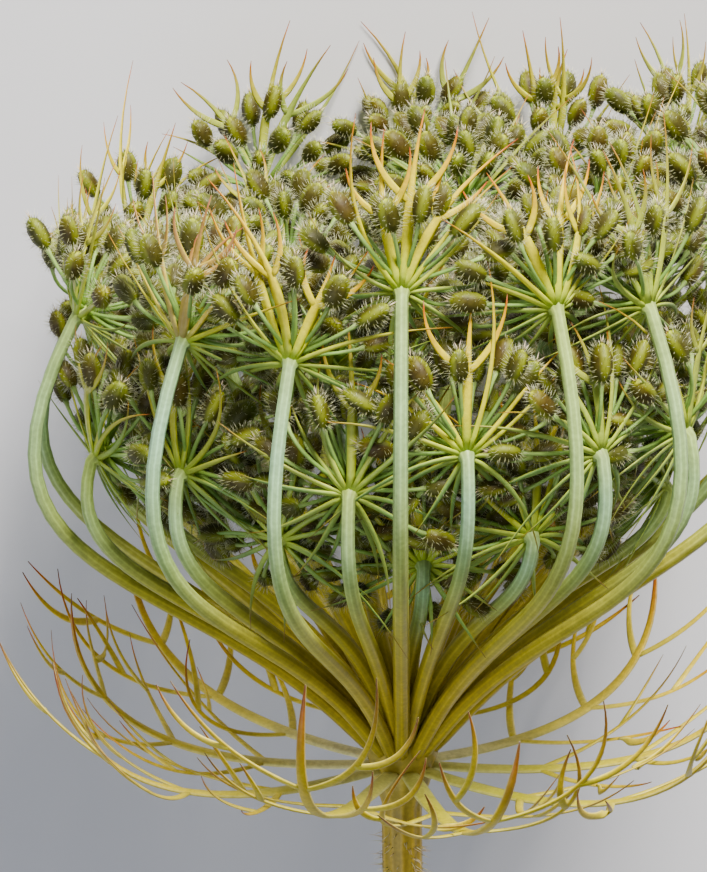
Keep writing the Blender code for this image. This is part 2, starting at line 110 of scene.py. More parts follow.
def heading(azimuth, out, along, sideways=0.0):
    """Directions at an azimuth, from their parts away from the axis, along it and sideways round it."""
    a = np.radians(azimuth)
    across = [out * np.sin(a) + sideways * np.cos(a), out * np.cos(a) - sideways * np.sin(a)]
    parts = np.broadcast_arrays(across[0], along, across[1])
    return tilted(np.stack(parts, axis=-1))


def unit(vectors):
    """Vectors over their own lengths."""
    return vectors / np.maximum(np.linalg.norm(vectors, axis=-1, keepdims=True), 1e-9)


def square_to(vectors, axes):
    """What is left of vectors without their part along unit axes, at length 1."""
    return unit(vectors - (vectors * axes).sum(-1, keepdims=True) * axes)


def wall_faces(ids, v):
    """Four-sided faces between rings of points, and their places on the pattern. ids is (rings, corners), the
    pattern's u goes once round a ring, and v is given for each ring."""
    after = np.roll(ids, -1, axis=1)
    faces = np.stack([ids[:-1], after[:-1], after[1:], ids[1:]], axis=-1).reshape(-1, 4)
    u = np.arange(ids.shape[1]) / ids.shape[1]
    low = np.meshgrid(v[:-1], u, indexing="ij")
    high = np.meshgrid(v[1:], u + 1 / ids.shape[1], indexing="ij")
    places = [low[1], low[0], high[1], low[0], high[1], high[0], low[1], high[0]]
    return faces, np.stack(places, axis=-1).reshape(-1, 4, 2)


def repeated(groups, copies, step):
    """Groups of faces and places for many copies of a body, each with its own run of step points."""
    first = step * np.arange(copies)[:, None, None]
    return [
        ((ids[None] + first).reshape(-1, ids.shape[1]), np.tile(places, (copies, 1, 1)))
        for ids, places in groups
    ]


def tubes(paths, halves, flats, corners, tones=0.0, ribs=0.0):
    """Many closed tubes at once: a shell of points, faces with their places on the pattern, and tones.

    paths is (tubes, steps, 3), halves (tubes, steps, 2) and flats (tubes, 1 or steps, 3). A corner at turn t
    lies half the width times cos t along the flat way, and half the thickness times sin t square to it and to
    the path. Every other corner stands out by the share called ribs. The pattern's v goes along the tube."""
    count, steps = paths.shape[:2]
    along = unit(np.gradient(paths, axis=1))
    across = square_to(np.broadcast_to(flats, paths.shape), along)
    turns = np.arange(corners) * 2 * np.pi / corners
    swell = 1 + ribs * (np.arange(corners) % 2)
    ring = (halves[..., :1] * np.cos(turns) * swell)[..., None] * across[:, :, None]
    rise = (halves[..., 1:] * np.sin(turns) * swell)[..., None] * np.cross(along, across)[:, :, None]
    points = paths[:, :, None] + (ring + rise)
    ids = np.arange(steps * corners).reshape(steps, corners)
    walls = wall_faces(ids, np.arange(steps) / (steps - 1))
    near_lid = ids[:1, ::-1], np.full((1, corners, 2), (0.5, 0.0))
    far_lid = ids[-1:], np.full((1, corners, 2), (0.5, 1.0))
    faces = repeated([walls, near_lid, far_lid], count, steps * corners)
    tones = np.broadcast_to(np.reshape(tones, (-1, 1)), (count, steps * corners)).ravel()
    return points.reshape(-1, 3), faces, tones


def spikes(roots, ways, lengths, thickness, tones=0.0):
    """Many three-sided spikes at once, each a closed body of four faces: a base of three points and a tip. A
    tip that would sink into the surface ends just over it."""
    ways = unit(ways)
    side = square_to(np.where(np.abs(ways[:, 2:]) < 0.9, (0.0, 0.0, 1.0), (1.0, 0.0, 0.0)), ways)
    turns = (np.arange(3) * 2 * np.pi / 3)[:, None]
    ring = np.cos(turns) * side[:, None] + np.sin(turns) * np.cross(ways, side)[:, None]
    base = roots[:, None] + thickness * ring
    tip = roots + ways * np.reshape(lengths, (-1, 1))
    tip[:, 2] = np.maximum(tip[:, 2], thickness)
    points = np.concatenate([base, tip[:, None]], axis=1).reshape(-1, 3)
    ids = np.array([(0, 1, 3), (1, 2, 3), (2, 0, 3), (2, 1, 0)])
    places = np.zeros((4, 3, 2))
    places[:, 2, 1] = 1.0
    tones = np.repeat(np.broadcast_to(tones, len(roots)), 4)
    return points, repeated([(ids, places)], len(roots), 4), tones


def make_piece(name, shells, node):
    """One mesh from (shell, finish) pairs, in metres. It rides on the root and stands for the CAD node."""
    finishes = list(dict.fromkeys(finish for _, finish in shells))
    groups = []
    count = 0
    for (points, faces, _), finish in shells:
        groups += [(ids + count, places, finishes.index(finish)) for ids, places in faces]
        count += len(points)
    sizes = np.concatenate([np.full(len(ids), ids.shape[1]) for ids, _, _ in groups])
    marks = np.concatenate([np.full(len(ids), mark) for ids, _, mark in groups])
    corners = np.concatenate([ids.ravel() for ids, _, _ in groups])
    pattern = np.concatenate([places.ravel() for _, places, _ in groups])
    points = np.concatenate([shell[0] for shell, _ in shells])
    tones = np.concatenate([shell[2] for shell, _ in shells])
    mesh = bpy.data.meshes.new(name)
    mesh.vertices.add(count)
    mesh.vertices.foreach_set("co", (points * MM).ravel())
    mesh.loops.add(len(corners))
    mesh.loops.foreach_set("vertex_index", corners)
    mesh.polygons.add(len(sizes))
    mesh.polygons.foreach_set("loop_start", np.concatenate([[0], np.cumsum(sizes)[:-1]]))
    mesh.polygons.foreach_set("material_index", marks)
    mesh.polygons.foreach_set("use_smooth", np.ones(len(sizes), bool))
    mesh.uv_layers.new(name="UVMap").data.foreach_set("uv", pattern)
    mesh.attributes.new("tone", "FLOAT", "POINT").data.foreach_set("value", tones)
    mesh.update(calc_edges=True)
    for finish in finishes:
        mesh.materials.append(finish)
    piece = bpy.data.objects.new(name, mesh)
    bpy.context.scene.collection.objects.link(piece)
    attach(piece, "root")
    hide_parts(node)


def seen(red, green, blue):
    """The linear colour of a colour given as it is seen, from 0 to 255."""
    share = np.array([red, green, blue]) / 255
    return (*np.where(share < 0.04045, share / 12.92, ((share + 0.055) / 1.055) ** 2.4), 1.0)


def add_node(tree, kind, settings=(), **inputs):
    """A shader node with its settings. Its inputs, named by their own names or as i and their number, are
    set to values or joined to the sockets given."""
    made = tree.nodes.new(kind)
    for key, value in settings:
        setattr(made, key, value)
    for key, value in inputs.items():
        socket = made.inputs[int(key[1:]) if key[1:].isdigit() else key]
        if isinstance(value, bpy.types.NodeSocket):
            tree.links.new(value, socket)
        else:
            socket.default_value = value
    return made


def add_math(tree, way, first, second=0.0):
    """The sum, difference or product of two values, or the cosine of one."""
    return add_node(tree, "ShaderNodeMath", (("operation", way),), i0=first, i1=second).outputs[0]


def add_range(tree, value, before, after):
    """A value moved in proportion from the range before, a low and a high end, to the range after."""
    ends = dict(i1=before[0], i2=before[1], i3=after[0], i4=after[1])
    return add_node(tree, "ShaderNodeMapRange", i0=value, **ends).outputs[0]


def add_ramp(tree, along, stops):
    """Colours that follow one another along a value, from (share, colour) stops."""
    made = add_node(tree, "ShaderNodeValToRGB", i0=along)
    ramp = made.color_ramp
    while len(ramp.elements) < len(stops):
        ramp.elements.new(0.5)
    for element, (share, colour) in zip(ramp.elements, stops):
        element.position = share
        element.color = colour
    return made.outputs["Color"]


def add_mix(tree, share, first, second, way="MIX"):
    """A blend of two colours by a share."""
    settings = (("data_type", "RGBA"), ("blend_type", way), ("clamp_factor", True))
    return add_node(tree, "ShaderNodeMix", settings, i0=share, i6=first, i7=second).outputs[2]


def add_wave(tree, across, count):
    """A wave between -1 and 1, which runs a number of times round a limb: the cosine of the pattern's u."""
    turn = add_math(tree, "MULTIPLY", across, 2 * np.pi * count)
    return add_math(tree, "COSINE", turn)


def build_mottle():
    """A group of nodes for the uneven green of stalks and leaves: soft blotches and fine specks over it."""
    group = bpy.data.node_groups.new("plant_mottle", "ShaderNodeTree")
    group.interface.new_socket("Colour", in_out="INPUT", socket_type="NodeSocketColor")
    amount = group.interface.new_socket("Amount", in_out="INPUT", socket_type="NodeSocketFloat")
    amount.default_value = 0.3
    group.interface.new_socket("Colour", in_out="OUTPUT", socket_type="NodeSocketColor")
    group.interface.new_socket("Height", in_out="OUTPUT", socket_type="NodeSocketFloat")
    entry = group.nodes.new("NodeGroupInput").outputs
    leave = group.nodes.new("NodeGroupOutput").inputs
    spot = add_node(group, "ShaderNodeTexCoord").outputs["Object"]
    blotch = add_node(group, "ShaderNodeTexNoise", Vector=spot, Scale=420.0, Detail=3.0).outputs["Fac"]
    speck = add_node(group, "ShaderNodeTexNoise", Vector=spot, Scale=2600.0, Detail=2.0).outputs["Fac"]
    both = add_math(group, "ADD", blotch, speck)
    shade = add_range(group, both, MOTTLE_SPREAD, MOTTLE_SHADES)
    grey = add_node(group, "ShaderNodeCombineColor", i0=shade, i1=shade, i2=shade).outputs[0]
    tinted = add_mix(group, 1.0, entry["Colour"], grey, "MULTIPLY")
    result = add_mix(group, entry["Amount"], entry["Colour"], tinted)
    group.links.new(result, leave["Colour"])
    group.links.new(both, leave["Height"])
    return group


mottle = build_mottle()


def limb_finish(name, cool, warm=None, blush=None, roughness=0.5, amount=0.4, margin=None, ribs=0, bump=0.25):
    """A stalk's or a leaf's finish. Colours follow one another along it, in a cool and a warm set that its
    tone blends, and a tone over 1 adds a blush. Then come painted shade in the grooves between ribs, or pale
    margins, and mottling."""
    material = bpy.data.materials.new(name)
    material.use_nodes = True
    tree = material.node_tree
    shader = tree.nodes["Principled BSDF"].inputs
    pattern = add_node(tree, "ShaderNodeUVMap", (("uv_map", "UVMap"),)).outputs[0]
    across, along = add_node(tree, "ShaderNodeSeparateXYZ", i0=pattern).outputs[:2]
    colour = add_ramp(tree, along, cool)
    if warm:
        tone = add_node(tree, "ShaderNodeAttribute", (("attribute_name", "tone"),)).outputs["Fac"]
        colour = add_mix(tree, tone, colour, add_ramp(tree, along, warm))
    if blush:
        colour = add_mix(tree, add_math(tree, "SUBTRACT", tone, 1.0), colour, blush)
    # Painted shade: the colour darkens in the grooves between the ribs, where shade would fall.
    if ribs:
        groove_shade = add_range(tree, add_wave(tree, across, ribs), (0.0, 1.0), (GROOVE_SHADE_SHARE, 0.0))
        colour = add_mix(tree, groove_shade, colour, seen(*GROOVE_SHADE_COLOUR))
    if margin:
        edge = add_range(tree, add_wave(tree, across, 2), (0.5, 1.0), (0.0, MARGIN_SHARE))
        colour = add_mix(tree, edge, colour, margin)
    mottled = add_node(tree, "ShaderNodeGroup", (("node_tree", mottle),), Colour=colour, Amount=amount)
    height = mottled.outputs["Height"]
    relief = add_node(tree, "ShaderNodeBump", Strength=bump, Distance=RELIEF_DEPTH, Height=height)
    tree.links.new(mottled.outputs["Colour"], shader["Base Color"])
    tree.links.new(relief.outputs[0], shader["Normal"])
    shader["Roughness"].default_value = roughness
    shader["Specular IOR Level"].default_value = SHINE
    return material


# The stem's skin, with painted shade in the grooves between its ribs.
stem_finish = limb_finish("stem_skin", (
    (0.0, seen(206, 196, 140)),
    (0.03, seen(164, 142, 44)),
    (0.75, seen(186, 156, 46)),
    (1.0, seen(184, 170, 60)),
), roughness=0.45, ribs=STEM_RIBS)
bristle_finish = limb_finish("pale_bristle", (
    (0.0, seen(136, 140, 70)),
    (0.5, seen(206, 208, 166)),
    (1.0, seen(244, 244, 226)),
), (
    (0.0, seen(170, 150, 84)),
    (0.5, seen(224, 190, 160)),
    (1.0, seen(240, 208, 190)),
), roughness=0.4, amount=0.1, bump=0.0)


def bowed(points, heights):
    """Points with the stem's bow added: a sideways shift by the square of the way down to the cut end."""
    points[:, 0] += STEM_BOW * (heights / STEM_LENGTH) ** 2
    return points


def stem_stalk():
    """The stalk and its dome. Its ribs are a raised cosine round it, whose height fades out at the neck."""
    heights = np.interp(np.linspace(0, 1, STEM_STEPS), STEM_STEPS_AT, (-STEM_LENGTH, -CUT_AT, NECK, DOME_TOP))
    line = bowed(place(0.0, 0.0, heights), heights)
    radii = np.interp(heights, STEM_RADII_AT, STEM_RADII)
    flat = heading(0.0, 1.0, 0.0)
    points, faces, tones = tubes(line[None], np.stack([radii, radii], axis=-1)[None], flat, STEM_CORNERS)
    grid = points.reshape(STEM_STEPS, STEM_CORNERS, 3)
    turns = np.arange(STEM_CORNERS) * 2 * np.pi / STEM_CORNERS
    fade = np.clip(-heights / STEM_RIB_FADE, 0, 1)[:, None]
    depth = STEM_RIB_HEIGHT * (0.5 - 0.5 * np.cos(STEM_RIBS * turns)) * fade
    grid -= (depth / radii[:, None])[..., None] * (grid - line[:, None])
    return grid.reshape(-1, 3), faces, tones


def stem_bristles(rng):
    """Bristles all along the stem, rooted a little inside its skin, which point out and mostly down."""
    share = rng.uniform(0, BRISTLED_SHARE, STEM_BRISTLES) ** BRISTLES_CROWD
    turn = rng.uniform(0, 360, STEM_BRISTLES)
    height = -STEM_LENGTH + BRISTLES_TO_CUT + share * (STEM_LENGTH - BRISTLES_TO_DOME)
    root = bowed(place(turn, STEM_RADIUS * STEM_BRISTLE_ROOT, height), height)
    rise = rng.uniform(*STEM_BRISTLE_RISE, STEM_BRISTLES)
    way = heading(turn, 1.0, rise, rng.uniform(*STEM_BRISTLE_TURN, STEM_BRISTLES))
    length = rng.uniform(*STEM_BRISTLE_LENGTH, STEM_BRISTLES)
    return spikes(root, way, length, STEM_BRISTLE_THICKNESS, rng.uniform(0, 1, STEM_BRISTLES))


stem_shells = [(stem_stalk(), stem_finish), (stem_bristles(np.random.default_rng(SEED)), bristle_finish)]
make_piece("ribbed_stem", stem_shells, "stem")

# The bracts: ten leaves that grow from just under the dome, spread under the rays and arch up round the head.
# Each is a flat midrib with pairs of lobes as narrow as threads, which bear shorter lobes of their own. They
# are yellow green, cream where they leave the dome, with dark withered tips.
BRACTS = 10
UMBELLETS = 41
BRACT_DRAWS = 300
FIRST_BRACT = 14.0
BRACT_STEPS = 30
BRACT_START = (2.2, -1.5)
BRACT_FOOT_RADIUS = 3.6
BRACT_LINE = ((14.0, -2.2), (32.5, -1.5), (33.5, 13.0))
BRACT_SWEEP = (-14, 14)
BRACT_REACH = (0.86, 1.03)
BRACT_RISE = (-2.0, 3.5)
BRACT_WIDTHS = (0.8, 0.9, 0.72, 0.36, 0.08)
BRACT_WIDTHS_AT = (0, 0.1, 0.45, 0.9, 1)
BRACT_DEPTHS = (0.3, 0.2, 0.03)
BRACT_DEPTHS_AT = (0, 0.9, 1)
BRACT_LIE = 0.5
LOBE_ROOTS = tuple((at, side) for at in (0.27, 0.5, 0.72) for side in (1, -1))
LOBE_STEPS = 18
LOBE_HALF = (0.15, 0.37)
LOBE_TAPER = (0.95, 1.0, 0.62, 0.14)
LOBE_TAPER_AT = (0, 0.15, 0.7, 1)
LOBE_LENGTH = (13, 21)
LOBE_SHORTENING = (1.15, 0.63)
LOBE_SPREAD = (28, 48)
LOBE_RISE = (0.4, 0.6)
LOBE_BULGE = 0.55
LOBE_CURL = 0.35
LOBE_TONES = 0.2
LOBE_COLOUR_FROM = 0.4
LOBE_LIE = 0.3
SIDE_LOBE_STEPS = (7, 11)
SIDE_LOBE_LENGTH = (4.5, 9.0)
LIE_SOFTNESS = 0.3


def lifted(paths, radii):
    """Paths with what would sink into the surface laid on it: a smooth maximum of each height and radius."""
    paths = np.array(paths, float)
    paths[..., 2] = radii + LIE_SOFTNESS * np.logaddexp((paths[..., 2] - radii) / LIE_SOFTNESS, 0.0)
    return paths


def bezier(points, shares):
    """Points of a curve at the given shares, by blending neighbouring guide points until one is left."""
    t = np.asarray(shares)[:, None]
    rows = [np.asarray(p, float) + 0 * t for p in points]
    while len(rows) > 1:
        rows = [(1 - t) * p + t * q for p, q in zip(rows, rows[1:])]
    return rows[0]


bract_finish = limb_finish("bract_blade", (
    (0.0, seen(206, 206, 110)),
    (0.25, seen(176, 172, 20)),
    (0.75, seen(190, 166, 4)),
    (0.94, seen(130, 84, 14)),
    (1.0, seen(46, 24, 14)),
), (
    (0.0, seen(236, 232, 186)),
    (0.35, seen(222, 206, 80)),
    (0.8, seen(212, 180, 4)),
    (0.95, seen(184, 80, 8)),
    (1.0, seen(90, 26, 16)),
), roughness=0.42, amount=0.35, margin=seen(222, 214, 130))


def midrib(azimuth, rng):
    """A bract's path: its outline at its own reach and rise, swept round the head by a square curve."""
    sweep = rng.uniform(*BRACT_SWEEP)
    reach = rng.uniform(*BRACT_REACH)
    rise = rng.uniform(*BRACT_RISE)
    shares = np.linspace(0, 1, BRACT_STEPS)
    outline = bezier([BRACT_START, *BRACT_LINE], shares)
    outline[:, 0] = BRACT_FOOT_RADIUS + (outline[:, 0] - BRACT_FOOT_RADIUS) * reach
    outline[:, 1] += rise * shares**2
    return lifted(place(azimuth + sweep * shares**2, outline[:, 0], outline[:, 1]), BRACT_LIE)


def lobe_path(line, flat, root, curl, rng):
    """A lobe's path over its share s: it leaves the midrib forwards and to one side, bulges outwards by s
    less its square, turns up by a power of s, and curls by its cube."""
    at, side = root
    index = at * (len(line) - 1)
    start = np.array([np.interp(index, np.arange(len(line)), line[:, k]) for k in range(3)])
    along = unit(line[int(index) + 1] - line[int(index) - 1])
    away = side * square_to(flat, along)
    length = rng.uniform(*LOBE_LENGTH) * (LOBE_SHORTENING[0] - LOBE_SHORTENING[1] * at)
    spread = np.radians(rng.uniform(*LOBE_SPREAD))
    s = np.linspace(0, 1, LOBE_STEPS)[:, None]
    way = np.cos(spread) * along + np.sin(spread) * away
    rise = (LOBE_RISE[0] - LOBE_RISE[1] * curl) * s**2.2 * tilted((0.0, 1.0, 0.0))
    rise = rise - 0.5 * s**3 * abs(curl) * along
    return start + length * (s * way + rise + (LOBE_BULGE * (s - s**2) + curl * s**3) * away)


def side_lobes(paths, flat, rng):
    """A shorter lobe from the middle of each lobe, which bends away from it, then back, and up at its end."""
    at = rng.integers(*SIDE_LOBE_STEPS, len(paths))
    each = np.arange(len(paths))
    along = unit(paths[each, at + 1] - paths[each, at - 1])
    away = square_to(np.broadcast_to(flat, along.shape), along) * rng.choice([-1.0, 1.0], (len(paths), 1))
    length = rng.uniform(*SIDE_LOBE_LENGTH, len(paths))[:, None, None]
    s = np.linspace(0, 1, LOBE_STEPS)[:, None]
    curve = s * (0.8 * along + 0.9 * away)[:, None] - 0.5 * s**2 * away[:, None]
    return paths[each, at][:, None] + length * (curve + 0.4 * s**2 * tilted((0.0, 1.0, 0.0)))


def later_part(faces, start):
    """The same faces with the pattern's v squeezed between a start and 1."""
    return [(ids, np.stack([at[..., 0], start + (1 - start) * at[..., 1]], axis=-1)) for ids, at in faces]


def lobe_shell(paths, flat, tones):
    """Lobes that narrow slowly to thin tips. They begin in the colour that the midrib has near its middle."""
    taper = np.interp(np.linspace(0, 1, LOBE_STEPS), LOBE_TAPER_AT, LOBE_TAPER)
    halves = np.stack([taper * LOBE_HALF[1], taper * LOBE_HALF[0]], axis=-1)
    halves = np.broadcast_to(halves, (*paths.shape[:2], 2))
    points, faces, tones = tubes(lifted(paths, LOBE_LIE), halves, flat, 6, tones)
    return points, later_part(faces, LOBE_COLOUR_FROM), tones


def dress_bract(index):
    """One bract, from the same draws as its solid, with its colours and curls from draws of their own."""
    rng = np.random.default_rng([SEED, UMBELLETS + 1 + index])
    looks = np.random.default_rng([SEED, BRACT_DRAWS + index])
    azimuth = FIRST_BRACT + 360 * index / BRACTS
    flat = heading(azimuth, 0.0, 0.0, 1.0)
    line = midrib(azimuth, rng)
    shares = np.linspace(0, 1, BRACT_STEPS)
    widths = np.interp(shares, BRACT_WIDTHS_AT, BRACT_WIDTHS)
    depths = np.interp(shares, BRACT_DEPTHS_AT, BRACT_DEPTHS)
    tone = looks.uniform(0, 1)
    blade = tubes(line[None], np.stack([widths, depths], axis=-1)[None], flat, 8, tone)
    curls = looks.uniform(-LOBE_CURL, LOBE_CURL, len(LOBE_ROOTS))
    paths = np.array([lobe_path(line, flat, root, curl, rng) for root, curl in zip(LOBE_ROOTS, curls)])
    tones = tone + looks.uniform(-LOBE_TONES, LOBE_TONES, len(paths))
    lobes = lobe_shell(paths, flat, tones)
    small_lobes = lobe_shell(side_lobes(paths, flat, looks), flat, tones)
    shells = [(shell, bract_finish) for shell in (blade, lobes, small_lobes)]
    make_piece(f"forked_bract_{index + 1:02d}", shells, f"bract_{index + 1:02d}")


for index in range(BRACTS):
    dress_bract(index)

# The rays: forty-one stalks that leave the dome close together, arch out and curve back in to make the nest.
# Each is finely ribbed, with painted shade in its grooves, and olive at its foot; the pale blue green above
# is a painted highlight of the sky. It swells at its tip into a small node, in which its fruits and
# bracteoles are rooted.
RAY_STEPS = 30
RAY_CORNERS = 16
RAY_RIBS = -0.07
RAY_THICKNESS = (0.62, 0.68, 0.69, 0.55)
RAY_THICKNESS_AT = (0, 0.15, 0.45, 1)
RAY_FOOT_RADIUS = 2.7
RAY_STRAIGHT = 4.5
RAY_LIE = 0.66
NODE_RADII = (0.68, 0.86, 0.93, 0.82, 0.56, 0.2)
NODE_RADII_AT = (0.3, 0.6, 1.0, 1.35, 1.65, 1.85)
TIERS = {
    "rim": dict(count=14, foot=82, out=50, radius=28.2, height=43.0, face=50),
    "wall": dict(count=12, foot=61, out=46, radius=27.5, height=31.5, face=62),
    "low": dict(count=8, foot=40, out=36, radius=22.5, height=24.5, face=62),
    "inner": dict(count=6, foot=21, out=20, radius=16.5, height=41.0, face=20),
    "heart": dict(count=1, foot=0, out=2, radius=1.0, height=35.0, face=2),
}
KNEES = {
    "rim": ((0.55, 0.49), (1.49, 0.37)),
    "wall": ((0.54, 0.60), (1.13, 0.60)),
    "low": ((0.42, 0.68), (0.94, 0.68)),
    "inner": ((0.35, 0.36), (0.82, 0.70)),
    "heart": ((0.35, 0.36), (0.82, 0.70)),
}
FACING_RAYS = {
    "rim": (
        (-73, 28.5, 40.5),
        (-39, 28.5, 42.0),
        (-19, 28.5, 41.5),
        (-1, 28.0, 47.5),
        (25, 28.0, 45.5),
        (43, 28.5, 44.5),
    ),
    "wall": (
        (-65, 28.5, 29.5),
        (-45, 26.0, 30.0),
        (-10, 26.5, 30.5),
        (10, 27.5, 34.0),
        (34, 28.0, 33.0),
        (54, 28.5, 33.0),
    ),
    "low": ((-27, 23.0, 25.0), (4, 21.0, 23.0), (26, 23.5, 25.5)),
    "inner": ((40, 19.0, 44.0),),
    "heart": (),
}
TIP_SCATTER = (3.0, 0.7, 1.6)
MOUTH_RISE = {"rim": 4.5, "wall": 2.0, "low": 0.0, "inner": 4.0, "heart": 0.0}
MOUTH_TURN = 20
SWUNG_RAYS = {("wall", 8): 3, ("low", 3): 3}


def tips_of(tier, rng):
    """The azimuth, radius and height of the tip of each ray of a tier, those that face up first. The others
    rise by a sine of their azimuth, because the head's mouth is askew."""
    rule = TIERS[tier]
    facing = FACING_RAYS[tier]
    rest = rule["count"] - len(facing)
    first = facing[-1][0] if facing else 0
    step = (360 - (first - facing[0][0] if facing else 0)) / (rest + 1 if facing else rest)
    tips = [np.array(tip, float) for tip in facing]
    for i in range(rest):
        azimuth = first + step * (i + 1)
        rise = MOUTH_RISE[tier] * np.sin(np.radians(azimuth - MOUTH_TURN))
        usual = np.array([azimuth, rule["radius"], rule["height"] + rise])
        tips.append(usual + rng.uniform(-1, 1, 3) * TIP_SCATTER)
    return tips


def ray_line(tier, number, tip):
    """A ray's path: a curve from inside the dome by two knees to its tip, laid on the surface. It starts at
    the foot angle from the axis and leaves at the out angle. The knees are shares of the tip's radius and
    height."""
    azimuth, radius, height = tip
    foot = np.radians(TIERS[tier]["foot"])
    out = np.radians(TIERS[tier]["out"])
    start = RAY_FOOT_RADIUS * np.array([np.sin(foot), np.cos(foot)])
    after = start + RAY_STRAIGHT * np.array([np.sin(out), np.cos(out)])
    guides = [(radius * r, height * h) for r, h in KNEES[tier]]
    shares = np.linspace(0, 1, RAY_STEPS)
    outline = bezier([start, after, *guides, (radius, height)], shares)
    swing = SWUNG_RAYS.get((tier, number), 0) * (1 - shares) ** 2
    return lifted(place(azimuth + swing, outline[:, 0], outline[:, 1]), RAY_LIE)


draws = np.random.default_rng(SEED)
umbellets = [(tier, i + 1, tip) for tier in TIERS for i, tip in enumerate(tips_of(tier, draws))]
ray_lines = np.array([ray_line(*umbellet) for umbellet in umbellets])
tip_azimuths = np.array([tip[0] for _, _, tip in umbellets])
leans = np.radians([TIERS[tier]["face"] for tier, _, _ in umbellets])
tips = ray_lines[:, -1]
axes = heading(tip_azimuths, -np.sin(leans), np.cos(leans))
uppers = heading(tip_azimuths, np.cos(leans), np.sin(leans))
sides = np.cross(axes, uppers)

# The pale blue green part of both ramps, strongest about three quarters along, is a painted highlight of the
# sky.
ray_finish = limb_finish("ray_skin", (
    (0.0, seen(190, 172, 36)),
    (0.25, seen(194, 178, 40)),
    (0.45, seen(184, 180, 56)),
    (0.63, seen(154, 188, 110)),
    (0.77, seen(152, 200, 164)),
    (0.86, seen(164, 192, 110)),
    (1.0, seen(130, 156, 44)),
), (
    (0.0, seen(184, 164, 30)),
    (0.25, seen(196, 176, 36)),
    (0.5, seen(186, 182, 54)),
    (0.72, seen(166, 196, 112)),
    (0.86, seen(170, 190, 80)),
    (1.0, seen(130, 150, 40)),
), roughness=0.4, amount=0.35, ribs=RAY_CORNERS // 2)


def ray_shell(k, rng):
    """The ray, which goes on past its tip as the swollen node."""
    radii = np.interp(np.linspace(0, 1, RAY_STEPS), RAY_THICKNESS_AT, RAY_THICKNESS)
    radii = np.concatenate([radii, NODE_RADII])
    path = np.concatenate([ray_lines[k], tips[k] + np.array(NODE_RADII_AT)[:, None] * axes[k]])
    halves = np.stack([radii, radii], axis=-1)
    return tubes(path[None], halves[None], sides[k], RAY_CORNERS, rng.uniform(0, 1), RAY_RIBS)


# The fruits: each is two halves grown together, ribbed, brown in the middle and green at its rims, in a coat
# of white bristles, with two dried styles at its tip. It stands on a thin stalk that grows from the node.
FRUIT_DRAWS = 100
FRUIT_RINGS = {
    "rim": ((12, 72, 5.8), (8, 48, 5.4), (4, 22, 4.8)),
    "wall": ((13, 78, 6.6), (9, 54, 6.0), (5, 30, 5.2)),
    "low": ((13, 78, 6.6), (9, 54, 6.0), (5, 30, 5.2)),
    "inner": ((13, 84, 7.4), (12, 62, 6.4), (8, 40, 5.6), (3, 18, 5.0)),
    "heart": ((13, 84, 7.4), (12, 62, 6.4), (8, 40, 5.6), (3, 18, 5.0)),
}
RING_SCATTER = 7
REACH_SCATTER = (0.86, 1.14)
NODE_MIDDLE = 1.2
FRUIT_HALF = (1.0, 0.84, 1.5)
FRUIT_SCALES = (0.86, 1.08)
FRUIT_LIFT = 0.22
FRUIT_SCATTER = 0.12
FRUIT_CORNERS = 12
FRUIT_STEPS = 4
FRUIT_ROUNDNESS = 0.85
FRUIT_RIB_DEPTH = 0.12
FRUIT_BEAK = 1.04
FRUIT_SPACE = 1.34
FRUIT_SHIFT = 2.4
SPREAD_ROUNDS = 40
SPREAD_STEP = 0.6
RAY_SPACE = 0.6
RAY_STEPS_AT_DOME = 4
BRISTLE_ROWS = 10
BRISTLES_ROUND = 13
BRISTLE_LENGTH = 0.72
BRISTLE_LENGTHS = (0.7, 1.2)
BRISTLE_THICKNESS = 0.022
BRISTLE_ROOT = 0.96
BRISTLE_LEAN = 0.3
BRISTLE_SCATTER = (0.07, 0.12, 0.14)
STYLE_LENGTH = 0.95
STYLE_THICKNESS = 0.075
STYLE_ROOT = 0.94
STYLE_FORK = 0.42
STYLE_TONE = 0.6
STALK_STEPS = 8
STALK_FOOT = 1.15
STALK_END = 0.93
STALK_BEND = 0.45
STALK_HALF = 0.17
STALK_TAPER = (1.5, 1.0, 0.95, 1.5)
STALK_TAPER_AT = (0, 0.2, 0.85, 1)


def ring_ways(k, count, polar, rng):
    """Directions all round an umbellet's axis at a polar angle, turned by chance and then scattered."""
    turned = np.arange(count) + rng.uniform(0, 1)
    psi = np.radians(360 * turned / count + rng.uniform(-RING_SCATTER, RING_SCATTER, count))
    across = np.cos(psi)[:, None] * uppers[k] + np.sin(psi)[:, None] * sides[k]
    lean = np.radians(polar + rng.uniform(-RING_SCATTER, RING_SCATTER, count))[:, None]
    return np.cos(lean) * axes[k] + np.sin(lean) * across


def first_fruits(k, rng):
    """Where an umbellet's fruits would stand with no neighbours: rings at several angles from its axis."""
    places = []
    for count, polar, stalk in FRUIT_RINGS[umbellets[k][0]]:
        ways = ring_ways(k, count, polar, rng)
        reach = (stalk + FRUIT_HALF[2]) * rng.uniform(*REACH_SCATTER, (count, 1))
        places.append(tips[k] + NODE_MIDDLE * axes[k] + reach * ways)
    return np.concatenate(places)


